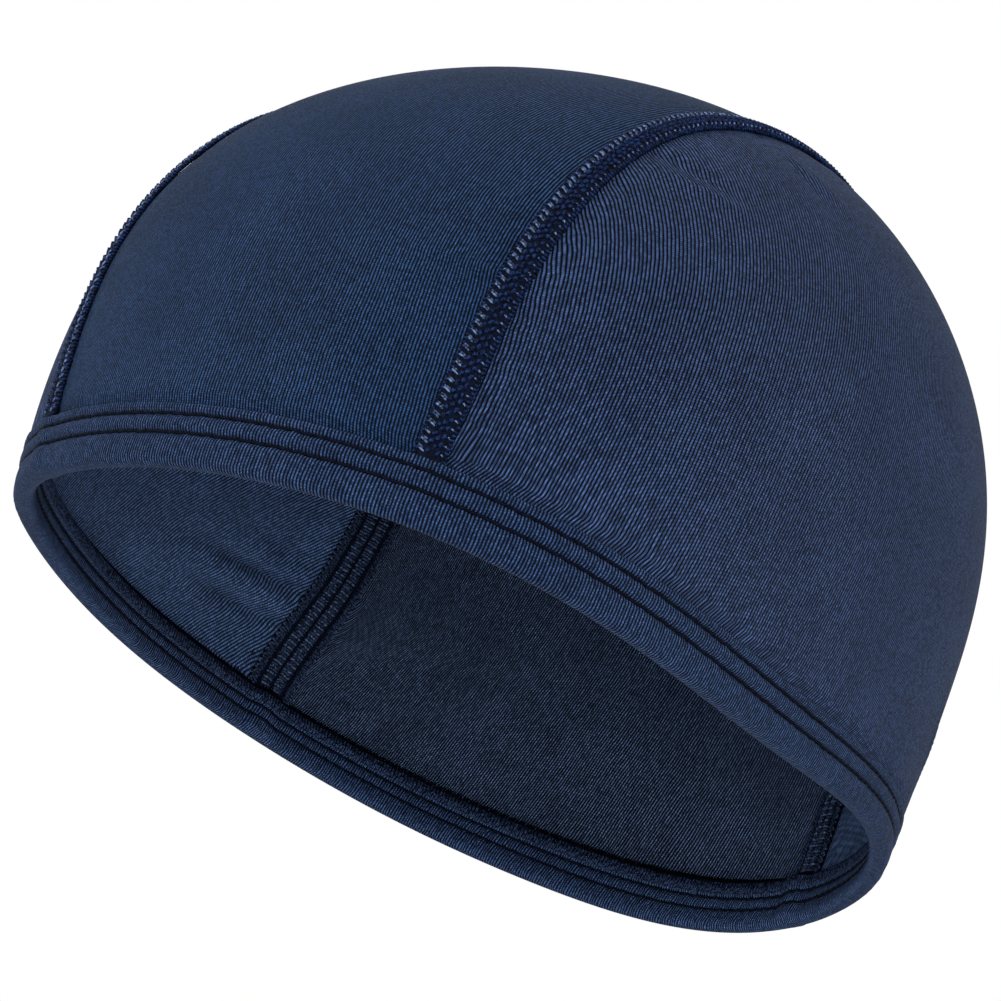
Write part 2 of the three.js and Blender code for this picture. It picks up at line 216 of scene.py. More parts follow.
def makeSeam(name):
    skirtShare = shareAtHeight(skirtTop)
    places = np.array(seamCourses[name])
    places[0] /= np.linalg.norm(places[0])
    places[-1] /= np.linalg.norm(places[-1])
    stations = smoothCourse(places, seamStations) * skirtShare
    frontAngle = math.atan2(stations[0, 1], stations[0, 0])
    backAngle = math.atan2(stations[-1, 1], stations[-1, 0])
    skirt = shareAtHeight(np.linspace(cloth["edgeHeight"], skirtTop, skirtSteps + 1)[:-1])
    path = np.vstack([spreadAt(skirt, frontAngle), stations, spreadAt(skirt[::-1], backAngle)])
    points = domePoint(path)
    tangents = unit(np.gradient(points, axis=0))
    for _ in range(6):  # eases the small turn where the seam meets the binding
        tangents[1:-1] = (tangents[:-2] + 2 * tangents[1:-1] + tangents[2:]) / 4
    across, fore = domeSlopes(path)
    sideways = unit(np.cross(tangents, unit(np.cross(across, fore))))
    aa, ab, bb = [(u * v).sum(-1) for u, v in [(across, across), (across, fore), (fore, fore)]]
    a, b = (across * sideways).sum(-1), (fore * sideways).sum(-1)
    perMillimetre = np.stack([a * bb - b * ab, b * aa - a * ab], axis=-1) / (aa * bb - ab * ab)[:, None]
    tree = kdtree.KDTree(len(points))
    for index, point in enumerate(points):
        tree.insert(point, index)
    tree.balance()
    return {
        "path": path,
        "along": runningLength(points),
        "perMillimetre": perMillimetre,
        "stations": slice(skirtSteps, skirtSteps + seamStations),
        "frontAngle": frontAngle,
        "backAngle": backAngle,
        "tree": tree,
    }


# The place beside a seam, as a spread: so far along it, and so far towards the wearer's left
def besideSeam(seam, along, beside):
    along, beside = np.broadcast_arrays(np.asarray(along, float), np.asarray(beside, float))
    place = [np.interp(along, seam["along"], seam["path"][:, axis]) for axis in range(2)]
    step = [np.interp(along, seam["along"], seam["perMillimetre"][:, axis]) for axis in range(2)]
    return np.stack(place, axis=-1) + np.stack(step, axis=-1) * beside[..., None]


def seamPoint(seam, along, beside, lift):
    spread = besideSeam(seam, along, beside)
    return skinPoint(spread, np.broadcast_to(lift, spread.shape[:-1]))


def nearestOnSeam(seam, points):
    flat = points.reshape(-1, 3)
    found = [seam["tree"].find(point) for point in flat]
    distance = np.array([hit[2] for hit in found]).reshape(points.shape[:-1])
    along = seam["along"][[hit[1] for hit in found]].reshape(points.shape[:-1])
    return distance, along


seams = {name: makeSeam(name) for name in seamCourses}
print("seams laid over the head:", {name: round(seam["along"][-1]) for name, seam in seams.items()}, "mm")


# Meshes from grids of points
def newPart():
    return {"points": [], "faces": [], "places": [], "slots": [], "count": 0}


def addGrid(part, points, places, slot=0):
    rows, columns = points.shape[:2]
    index = np.arange(rows * columns).reshape(rows, columns) + part["count"]
    a, b = index[:-1, :-1], index[:-1, 1:]
    d, c = index[1:, :-1], index[1:, 1:]
    faces = np.stack([a, b, c, d], axis=-1).reshape(-1, 4)
    part["points"].append(points.reshape(-1, 3))
    part["faces"].append(faces)
    part["places"].append(places.reshape(-1, 2))
    part["slots"].append(np.full(len(faces), slot))
    part["count"] += rows * columns


# Threads: each row of paths is one thread's centre line, and is given a round section and ends
def addThreads(part, paths, radius, ups, slot=0, sides=5):
    count, steps = paths.shape[:2]
    tangents = unit(np.gradient(paths, axis=1))
    side = unit(np.cross(tangents, ups))
    up = np.cross(side, tangents)
    turns = np.arange(sides) * 2 * np.pi / sides
    thickness = np.broadcast_to(radius, (count, steps))[..., None, None]
    ring = side[..., None, :] * np.cos(turns)[:, None] + up[..., None, :] * np.sin(turns)[:, None]
    rings = paths[..., None, :] + ring * thickness
    index = np.arange(count * steps * sides).reshape(count, steps, sides) + part["count"]
    here, there = index[:, :-1], index[:, 1:]
    walls = np.stack([here, np.roll(here, -1, 2), np.roll(there, -1, 2), there], axis=-1).reshape(-1, 4)
    tips = index[-1:].max() + 1 + np.arange(count * 2).reshape(count, 2)
    starts, ends = index[:, 0], index[:, -1]
    capStart = np.stack(
        [np.roll(starts, -1, 1), starts, np.repeat(tips[:, :1], sides, 1)], axis=-1).reshape(-1, 3)
    capEnd = np.stack(
        [ends, np.roll(ends, -1, 1), np.repeat(tips[:, 1:], sides, 1)], axis=-1).reshape(-1, 3)
    caps = np.vstack([capStart, capEnd])
    tipPoints = np.stack([paths[:, 0], paths[:, -1]], axis=1).reshape(-1, 3)
    alongThread = np.broadcast_to(runningLength(np.swapaxes(paths, 0, 1)).T[..., None], index.shape)
    roundThread = np.broadcast_to(turns * 0.2, index.shape)
    places = np.stack([roundThread, alongThread], axis=-1).reshape(-1, 2)
    part["points"] += [rings.reshape(-1, 3), tipPoints]
    part["places"] += [places, np.zeros((count * 2, 2))]
    part["faces"] += [walls, caps]
    part["slots"] += [np.full(len(walls), slot), np.full(len(caps), slot)]
    part["count"] += count * steps * sides + count * 2


def makePiece(name, part, materials, thickness=0.0):
    points = np.vstack(part["points"]) / 1000
    faces = [tuple(face) for block in part["faces"] for face in block.tolist()]
    mesh = bpy.data.meshes.new(name)
    mesh.from_pydata(points.tolist(), [], faces)
    mesh.polygons.foreach_set("material_index", np.concatenate(part["slots"]).astype(np.int32))
    places = np.vstack(part["places"])
    corners = np.zeros(len(mesh.loops), dtype=np.int32)
    mesh.loops.foreach_get("vertex_index", corners)
    uvLayer = mesh.uv_layers.new(name="knit")
    uvLayer.data.foreach_set("uv", places[corners].astype(np.float32).ravel())
    work = bmesh.new()
    work.from_mesh(mesh)
    if thickness:
        bmesh.ops.remove_doubles(work, verts=work.verts, dist=2e-6)
        bmesh.ops.dissolve_degenerate(work, edges=work.edges, dist=1e-6)
        work.normal_update()
        insideHead = Vector((0.0, 0.01, 0.05))
        outward = sum((face.calc_center_median() - insideHead).dot(face.normal) for face in work.faces)
        if outward < 0:
            bmesh.ops.reverse_faces(work, faces=work.faces)
    for face in work.faces:
        face.smooth = True
    work.to_mesh(mesh)
    work.free()
    piece = bpy.data.objects.new(name, mesh)
    bpy.context.collection.objects.link(piece)
    for material in materials:
        mesh.materials.append(material)
    if thickness:
        shell = piece.modifiers.new("clothThickness", "SOLIDIFY")
        shell.thickness = thickness / 1000
        shell.offset = -1
        shell.material_offset = 1
        shell.material_offset_rim = 1
        bpy.context.view_layer.update()
        evaluated = piece.evaluated_get(bpy.context.evaluated_depsgraph_get())
        thick = bpy.data.meshes.new_from_object(evaluated)
        piece.modifiers.clear()
        piece.data = thick
        bpy.data.meshes.remove(mesh)
        thick.name = name
    return piece


# Materials
def fromHex(code):
    channels = [int(code[i:i + 2], 16) / 255 for i in (1, 3, 5)]
    linear = [c / 12.92 if c <= 0.04045 else ((c + 0.055) / 1.055) ** 2.4 for c in channels]
    return (*linear, 1.0)


def addNode(tree, kind, settings=None, inputs=None):
    node = tree.nodes.new(kind)
    for name, value in (settings or {}).items():
        setattr(node, name, value)
    for name, value in (inputs or {}).items():
        if isinstance(value, bpy.types.NodeSocket):
            tree.links.new(value, node.inputs[name])
        else:
            node.inputs[name].default_value = value
    return node


def newMaterial(name, settings):
    material = bpy.data.materials.new(name)
    material.use_nodes = True
    tree = material.node_tree
    shader = tree.nodes["Principled BSDF"]
    for socket, value in settings.items():
        shader.inputs[socket].default_value = value
    return material, tree, shader


# Polyester and spandex weft knit, dyed navy: smooth filament loops stand in columns (wales) with a
# furrow between them that is painted near-black as shade; the filaments give a soft pale sheen at a
# glancing angle.
# wale is a column's width and course a loop's height, in millimetres, drawn a little coarser
# than the finest sports knits so that they show. turn is the columns' slant in degrees.
knits = {
    "sideFace": {
        "loop": "#3b4f77", "furrowShade": "#01030b", "wale": 0.66, "furrowWidth": 0.38,
        "course": 0.42, "turn": 0, "sheen": 0.065,
    },
    "centreFace": {
        "loop": "#2d4972", "furrowShade": "#010612", "wale": 0.57, "furrowWidth": 0.43,
        "course": 0.4, "turn": 0, "sheen": 0.1,
    },
    # the insides' loops are painted lighter than the outsides': painted light in the shaded inside of the
    # cap, more on the side panels than on the strip
    "sideBackPaintedLight": {
        "loop": "#5d77a3", "furrowShade": "#0c1932", "wale": 0.66, "furrowWidth": 0.4,
        "course": 0.6, "turn": -36, "sheen": 0.065,
    },
    "centreBackPaintedLight": {
        "loop": "#5a6f95", "furrowShade": "#010308", "wale": 0.66, "furrowWidth": 0.48,
        "course": 0.7, "turn": -9, "sheen": 0.065,
    },
    "bindingFace": {
        "loop": "#3b527b", "furrowShade": "#020715", "wale": 0.58, "furrowWidth": 0.46,
        "course": 0.5, "turn": 0, "sheen": 0.06,
    },
    "bindingBack": {
        "loop": "#48608c", "furrowShade": "#030919", "wale": 0.6, "furrowWidth": 0.45,
        "course": 0.5, "turn": -10, "sheen": 0.065,
    },
}


def stretchKnit(name):
    knit = knits[name]
    material, tree, shader = newMaterial(name + "Knit", {
        "Roughness": 0.7,
        "IOR": 1.5,
        "Specular IOR Level": 0.03,
        "Sheen Weight": knit["sheen"],
        "Sheen Roughness": 0.14,
        "Sheen Tint": fromHex("#b9c6de"),
    })
    place = addNode(tree, "ShaderNodeUVMap", {"uv_map": "knit"})
    turned = addNode(tree, "ShaderNodeVectorRotate", {"rotation_type": "Z_AXIS"}, {
        "Vector": place.outputs["UV"], "Angle": math.radians(knit["turn"])})
    sway = addNode(tree, "ShaderNodeTexNoise", {"noise_dimensions": "2D"}, {
        "Vector": turned.outputs[0], "Scale": 0.04, "Detail": 5.0, "Roughness": 0.62})
    split = addNode(tree, "ShaderNodeSeparateXYZ", None, {"Vector": turned.outputs[0]})
    swayed = addNode(tree, "ShaderNodeMath", {"operation": "MULTIPLY_ADD"}, {
        0: sway.outputs["Fac"], 1: 1.2, 2: split.outputs["X"]})
    waleCount = addNode(tree, "ShaderNodeMath", {"operation": "DIVIDE"}, {
        0: swayed.outputs[0], 1: knit["wale"]})
    inWale = addNode(tree, "ShaderNodeMath", {"operation": "PINGPONG"}, {
        0: waleCount.outputs[0], 1: 0.5})  # 0 in the furrow, 0.5 on the column's ridge
    ridge = addNode(tree, "ShaderNodeMapRange", {"interpolation_type": "SMOOTHSTEP"}, {
        "Value": inWale.outputs[0],
        "From Min": knit["furrowWidth"] * 0.25, "From Max": knit["furrowWidth"]})
    # the two legs of each loop lean, so the courses make small chevrons
    chevron = addNode(tree, "ShaderNodeMath", {"operation": "MULTIPLY"}, {
        0: inWale.outputs[0], 1: 1.3})
    course = addNode(tree, "ShaderNodeMath", {"operation": "DIVIDE"}, {
        0: split.outputs["Y"], 1: knit["course"]})
    loopCount = addNode(tree, "ShaderNodeMath", {"operation": "ADD"}, {
        0: course.outputs[0], 1: chevron.outputs[0]})
    inLoop = addNode(tree, "ShaderNodeMath", {"operation": "PINGPONG"}, {
        0: loopCount.outputs[0], 1: 0.5})
    loopHeight = addNode(tree, "ShaderNodeMapRange", {"interpolation_type": "SMOOTHSTEP"}, {
        "Value": inLoop.outputs[0], "From Min": 0.02, "From Max": 0.4, "To Min": 0.45, "To Max": 1.0})
    reliefAndShade = addNode(tree, "ShaderNodeMath", {"operation": "MULTIPLY"}, {
        0: ridge.outputs[0], 1: loopHeight.outputs[0]})
    # each loop, and the filaments in it, take the dye and the light a little differently
    column = addNode(tree, "ShaderNodeMath", {"operation": "FLOOR"}, {0: waleCount.outputs[0]})
    loopRow = addNode(tree, "ShaderNodeMath", {"operation": "FLOOR"}, {0: loopCount.outputs[0]})
    loopCell = addNode(tree, "ShaderNodeCombineXYZ", None, {
        "X": column.outputs[0], "Y": loopRow.outputs[0]})
    loopTint = addNode(tree, "ShaderNodeTexWhiteNoise", {"noise_dimensions": "2D"}, {
        "Vector": loopCell.outputs[0]})
    loopShade = addNode(tree, "ShaderNodeMapRange", None, {
        "Value": loopTint.outputs["Value"], "To Min": 0.6, "To Max": 1.4})
    fleck = addNode(tree, "ShaderNodeTexNoise", {"noise_dimensions": "2D"}, {
        "Vector": turned.outputs[0], "Scale": 1.6, "Detail": 3.0, "Roughness": 0.7})
    cloud = addNode(tree, "ShaderNodeTexNoise", {"noise_dimensions": "2D"}, {
        "Vector": turned.outputs[0], "Scale": 0.05, "Detail": 2.0})
    fleckShade = addNode(tree, "ShaderNodeMapRange", None, {
        "Value": fleck.outputs["Fac"], "From Min": 0.3, "From Max": 0.7, "To Min": 0.7, "To Max": 1.3})
    cloudShade = addNode(tree, "ShaderNodeMapRange", None, {
        "Value": cloud.outputs["Fac"], "From Min": 0.3, "From Max": 0.7, "To Min": 0.9, "To Max": 1.1})
    uneven = addNode(tree, "ShaderNodeMath", {"operation": "MULTIPLY"}, {
        0: fleckShade.outputs[0], 1: loopShade.outputs[0]})
    shade = addNode(tree, "ShaderNodeMath", {"operation": "MULTIPLY"}, {
        0: uneven.outputs[0], 1: cloudShade.outputs[0]})
    # the furrows and the lower ends of the loops are painted dark by the same relief that drives the bump:
    # painted shade
    colour = addNode(tree, "ShaderNodeMix", {"data_type": "RGBA"}, {
        0: reliefAndShade.outputs[0], 6: fromHex(knit["furrowShade"]), 7: fromHex(knit["loop"])})
    dyed = addNode(tree, "ShaderNodeVectorMath", {"operation": "SCALE"}, {
        0: colour.outputs[2], "Scale": shade.outputs[0]})
    bump = addNode(tree, "ShaderNodeBump", None, {
        "Strength": 1.0, "Distance": knit["wale"] * 0.45 / 1000, "Height": reliefAndShade.outputs[0]})
    tree.links.new(dyed.outputs[0], shader.inputs["Base Color"])
    tree.links.new(bump.outputs[0], shader.inputs["Normal"])
    return material


# Textured polyester sewing thread, twisted from fine filaments: darker than the knit where it lies
# in the seam, with small bright glints painted into its colour along the twist.
threads = {
    "looper": {"light": "#142a56", "dark": "#01040f", "roughness": 0.6},
    "needle": {"light": "#6479a0", "dark": "#0e1c3a", "roughness": 0.45},
    "ladder": {"light": "#4a5d7e", "dark": "#040b1b", "roughness": 0.5},
    "overlock": {"light": "#2f3d5a", "dark": "#040a18", "roughness": 0.5},
    # the seam bed's near-black is partly the thread's navy and partly painted shade in the gaps between the
    # seam's loops
    "seamBedAndShade": {"light": "#050d22", "dark": "#01030a", "roughness": 0.8},
    # the topstitch's near-black is partly the stitch thread and partly painted shade of the binding's
    # grooves and painted shadow under the turn-up's edge
    "topstitchAndShade": {"light": "#050b1c", "dark": "#010207", "roughness": 0.8},
}


def sewingThread(name):
    thread = threads[name]
    material, tree, shader = newMaterial(name + "Thread", {
        "Roughness": thread["roughness"],
        "IOR": 1.54,
        "Specular IOR Level": 0.06,
    })
    # the filaments' twist turns every half millimetre
    spot = addNode(tree, "ShaderNodeTexCoord")
    ply = addNode(tree, "ShaderNodeTexNoise", None, {
        "Vector": spot.outputs["Object"], "Scale": 2200.0, "Detail": 2.0})
    # where the noise runs high the light colour is mixed in: painted glints
    glint = addNode(tree, "ShaderNodeMapRange", {"interpolation_type": "SMOOTHSTEP"}, {
        "Value": ply.outputs["Fac"], "From Min": 0.38, "From Max": 0.66})
    colour = addNode(tree, "ShaderNodeMix", {"data_type": "RGBA"}, {
        0: glint.outputs[0], 6: fromHex(thread["dark"]), 7: fromHex(thread["light"])})
    bump = addNode(tree, "ShaderNodeBump", None, {
        "Strength": 0.7, "Distance": 0.00008, "Height": ply.outputs["Fac"]})
    tree.links.new(colour.outputs[2], shader.inputs["Base Color"])
    tree.links.new(bump.outputs[0], shader.inputs["Normal"])
    return material


knitMaterials = {name: stretchKnit(name) for name in knits}
threadMaterials = {name: sewingThread(name) for name in threads}
print("materials made:", len(knitMaterials) + len(threadMaterials))


# Soft folds and puckers that the photograph shows, each round one place on the head
folds = [
    {"at": (0.335, -0.480), "run": (0.9, 0.5), "length": 9, "width": 2.2, "lift": -0.5},
    {"at": (0.372, -0.470), "run": (0.8, 0.7), "length": 8, "width": 2.0, "lift": 0.4},
    {"at": (0.330, -0.330), "run": (0.9, 0.1), "length": 9, "width": 2.0, "lift": -0.5},
    {"at": (0.368, -0.300), "run": (0.8, 0.4), "length": 8, "width": 2.2, "lift": 0.45},
    {"at": (0.765, 0.366), "run": (0.3, 0.5), "length": 7, "width": 1.2, "lift": 0.5},
    {"at": (-0.810, 0.270), "run": (0.07, 0.15), "length": 21, "width": 2.5, "lift": 1.2},
    {"at": (-0.750, 0.270), "run": (0.06, 0.12), "length": 16, "width": 2.4, "lift": 1.1},
    {"at": (-0.780, 0.265), "run": (0.06, 0.14), "length": 18, "width": 2.6, "lift": -1.0},
    {"at": (-0.690, 0.290), "run": (0.06, 0.13), "length": 12, "width": 2.8, "lift": 0.7},
    {"at": (-0.860, 0.130), "run": (0.07, 0.36), "length": 24, "width": 4.5, "lift": -1.3},
    {"at": (-0.708, 0.560), "run": (0.18, 0.18), "length": 14, "width": 2.0, "lift": -0.7},
    {"at": (0.530, 0.655), "run": (0.6, -0.3), "length": 10, "width": 2.2, "lift": 0.8},
    {"at": (0.590, 0.620), "run": (0.5, -0.5), "length": 9, "width": 2.0, "lift": -0.6},
]


def foldLift(points, normals):
    lift = np.zeros(points.shape[:-1])
    for fold in folds:
        at = np.array(fold["at"])
        centre = domePoint(at)
        run = unit(domePoint(at + 0.02 * np.array(fold["run"])) - centre)
        offset = points - centre
        lengthwise = offset @ run
        crosswise = (offset * np.cross(normals, run)).sum(-1)
        near = (offset * offset).sum(-1) < (3 * fold["length"]) ** 2
        ridge = np.exp(-(crosswise / fold["width"]) ** 2 - (lengthwise / fold["length"]) ** 2)
        lift += np.where(near, fold["lift"] * ridge, 0)
    return lift


# Uneven gathering along a line: a sum of waves of unlike length
def gathers(along, pace, seed):
    value = np.zeros_like(along)
    draw = np.random.default_rng(seed)
    for stretch in (0.63, 1.0, 1.37, 1.9):
        value += np.sin(2 * np.pi * along / (pace * stretch) + draw.uniform(0, 6.28))
    return value / 4


# The cloth puckers between stitches beside the seams and above the binding, and this dies away
puckers = {
    "seamPace": 5.2,
    "seamDepth": 0.14,
    "seamReach": 3.5,
    "bandPace": 4.6,
    "bandDepth": 0.16,
    "bandReach": 4.0,
}


def panelPoints(spread, seamNames):
    base = domePoint(spread)
    normals = domeNormal(spread)
    height = heightAtShare(np.hypot(spread[..., 0], spread[..., 1]))
    dip = np.zeros(base.shape[:-1])
    pucker = np.zeros(base.shape[:-1])
    for seed, name in enumerate(seamNames):
        distance, along = nearestOnSeam(seams[name], base)
        clear = smoothStep((distance - cloth["seamCover"][name]) / cloth["seamRun"])
        dip += cloth["seamDip"] * (1 - clear)
        fade = np.exp(-np.maximum(distance - 4, 0) / puckers["seamReach"])
        reach = smoothStep((distance - 2.4) / 2) * fade
        pucker += puckers["seamDepth"] * reach * gathers(along, puckers["seamPace"], 3 + seed)
    tucked = 1 - smoothStep((height - cloth["bandTop"] - 0.1) / cloth["tuckRun"])
    girth = angleOf(spread) * roundHead
    fade = np.exp(-np.maximum(height - 12, 0) / puckers["bandReach"])
    reach = smoothStep((height - cloth["bandTop"]) / 2) * fade
    pucker += puckers["bandDepth"] * reach * gathers(girth, puckers["bandPace"], 8)
    lift = cloth["tuck"] * tucked + (1 - tucked) * (dip + foldLift(base, normals)) + pucker
    return base + normals * lift[..., None]


sideRows = 72  # rows of a side panel, from the skirt to the seam
stripColumns = 74  # columns of the centre strip, from seam to seam
seamSteps = {
    name: [cloth["seamEdge"], cover * 0.6, cover, cover + cloth["seamRun"] / 2, cover + cloth["seamRun"]]
    for name, cover in cloth["seamCover"].items()
}
skirtHeights = np.array([cloth["edgeHeight"], 5.0, 8.0, 9.6, 10.3, 10.9, 11.5, skirtTop])


# A row that runs low beside a seam's end is held above the rows before it, so the cloth never folds
def heldUp(places, rowsFromEnd):
    limit = shareAtHeight(skirtTop) - 0.002 * rowsFromEnd
    share = np.linalg.norm(places, axis=-1)
    return places * np.minimum(1, limit / share)[..., None]


def turnFor(length, angle):
    share = shareAtHeight(skirtTop)
    stride = domePoint(spreadAt(share, angle + 0.01)) - domePoint(spreadAt(share, angle))
    return length * 0.01 / np.linalg.norm(stride)


def sidePanel(name, seamName, side):
    seam = seams[seamName]
    steps = seamSteps[seamName]
    free = steps[-1]
    frontTurn, backTurn = turnFor(1, seam["frontAngle"]), turnFor(1, seam["backAngle"])
    start = seam["frontAngle"] + side * free * frontTurn
    span = np.mod(side * (seam["backAngle"] - side * free * backTurn - start), 2 * np.pi)
    angles = start + side * np.linspace(0, span, seamStations)
    frontEdge = seam["frontAngle"] + side * frontTurn * np.array(steps[:-1])
    backEdge = seam["backAngle"] - side * backTurn * np.array(steps[:-1])
    allAngles = np.concatenate([frontEdge, angles, backEdge[::-1]])
    skirt = spreadAt(shareAtHeight(skirtHeights)[:, None], allAngles[None, :])
    feet = spreadAt(shareAtHeight(skirtTop), angles)
    alongs = seam["along"][seam["stations"]]
    fromEnd = np.minimum(np.arange(seamStations), np.arange(seamStations)[::-1])
    heads = heldUp(besideSeam(seam, alongs, side * free), fromEnd)
    heads[0], heads[-1] = feet[0], feet[-1]
    rows = [feet + (heads - feet) * share for share in np.linspace(0, 1, sideRows)]
    for step in range(len(steps) - 2, -1, -1):
        row = heldUp(besideSeam(seam, alongs, side * steps[step]), fromEnd)
        row[0] = spreadAt(shareAtHeight(skirtTop), frontEdge[step])
        row[-1] = spreadAt(shareAtHeight(skirtTop), backEdge[step])
        rows.append(row)
    upper = np.stack(rows)
    # the wales lie in upright planes across the head, an even distance apart round its widest part
    quarter = np.linspace(-np.pi / 2, np.pi / 2, 400)
    girth = domePoint(spreadAt(1 - headShape["wallShare"], quarter if side > 0 else np.pi - quarter))
    order = np.argsort(girth[:, 1])
    part = newPart()
    for spread in (skirt, upper):
        points = panelPoints(spread, [seamName])
        across = np.interp(points[..., 1], girth[order, 1], runningLength(girth)[order])
        climb = np.hypot(points[..., 2], headShape["halfWidth"] - np.abs(points[..., 0]))
        addGrid(part, points, np.stack([across * side, climb], axis=-1))
    faces = [knitMaterials["sideFace"], knitMaterials["sideBackPaintedLight"]]
    return makePiece(name, part, faces, cloth["thickness"])


def centrePanel(name):
    left, right = seams["left"], seams["right"]
    shares = np.linspace(0, 1, stripColumns)

    def span(rightPlaces, leftPlaces, roundness):
        # straight over the crown, round the head near the binding
        start, end = rightPlaces[-1], leftPlaces[0]
        turn = np.mod(angleOf(end) - angleOf(start) + np.pi, 2 * np.pi) - np.pi
        straight = start + (end - start) * shares[:, None]
        radius = np.linalg.norm(start) * (1 - shares) + np.linalg.norm(end) * shares
        arc = spreadAt(radius, angleOf(start) + turn * shares)
        middle = straight * (1 - roundness) + arc * roundness
        return np.vstack([rightPlaces[:-1], middle, leftPlaces[1:]])

    rightSteps = np.array(seamSteps["right"])
    leftSteps = np.array(seamSteps["left"])[::-1]
    rows = []
    for atBack in (False, True):
        key, sign = ("backAngle", -1) if atBack else ("frontAngle", 1)
        skirtRows = []
        for share in shareAtHeight(skirtHeights):
            rightAngles = right[key] + sign * turnFor(1, right[key]) * rightSteps
            leftAngles = left[key] - sign * turnFor(1, left[key]) * leftSteps
            skirtRows.append(span(spreadAt(share, rightAngles), spreadAt(share, leftAngles), 1))
        if atBack:
            rows += skirtRows[::-1]
            continue
        rows += skirtRows
        rightAlong = right["along"][right["stations"]]
        leftAlong = left["along"][left["stations"]]
        for station in range(1, seamStations - 1):
            fromEnd = min(station, seamStations - 1 - station)
            toEnd = fromEnd / (seamStations * 0.195)
            rightPlaces = besideSeam(right, rightAlong[station], rightSteps)
            leftPlaces = besideSeam(left, leftAlong[station], -leftSteps)
            rows.append(heldUp(span(rightPlaces, leftPlaces, 1 - smoothStep(toEnd)), fromEnd))
    points = panelPoints(np.stack(rows), ["right", "left"])
    across = np.swapaxes(runningLength(np.swapaxes(points, 0, 1)), 0, 1)
    across = across - across[:, across.shape[1] // 2][:, None]
    part = newPart()
    addGrid(part, points, np.stack([across, runningLength(points)], axis=-1))
    faces = [knitMaterials["centreFace"], knitMaterials["centreBackPaintedLight"]]
    return makePiece(name, part, faces, cloth["thickness"])


panels = {
    "centreStrip": centrePanel("centreStrip"),
    "leftSideCloth": sidePanel("leftSideCloth", "left", 1),
    "rightSideCloth": sidePanel("rightSideCloth", "right", -1),
}
print("panels cut and gathered:", {name: len(piece.data.polygons) for name, piece in panels.items()})


# A flatlock seam: a soft bed over the two cut edges with a row of needle stitches at each side
flatlock = {
    "coverWidth": 5.1,
    "coverTop": 0.7,
    "backWidth": {"left": 7.6, "right": 11.8},
    "backFace": -1.55,
    "backDrop": -2.1,
    "pitch": 1.5,  # one stitch
    "coverEnd": 10.6,  # height where the seam runs in under the binding, outside and inside
    "backEnd": 9.9,
    "bedStep": 1.0,
}
seamThreads = ["seamBedAndShade", "needle", "ladder", "looper", "overlock"]


# Short threads repeated along a seam: shape is a list of (along, beside, lift) for one thread
def stitchRow(part, seam, starts, shape, radius, slot, mirror=1.0, sink=0.0, sides=5):
    along, beside, lift = [np.array(column, float) for column in zip(*shape)]
    alongs = starts[:, None] + along[None, :]
    besides = np.broadcast_to(beside * mirror, alongs.shape)
    spread = besideSeam(seam, alongs, besides)
    normals = domeNormal(spread)
    lifts = np.broadcast_to(lift, alongs.shape) + np.broadcast_to(sink, alongs.shape)
    points = domePoint(spread) + normals * lifts[..., None]
    addThreads(part, points, radius, normals, slot, sides)


def roundedBed(width, low, high, count):
    # the bed's section as (beside, lift), with the upper corners rounded off
    turn = np.linspace(0, np.pi, count)
    beside = -np.cos(turn) * width / 2
    lift = low + (high - low) * np.sin(turn) ** 0.5
    return np.stack([beside, lift], axis=-1)


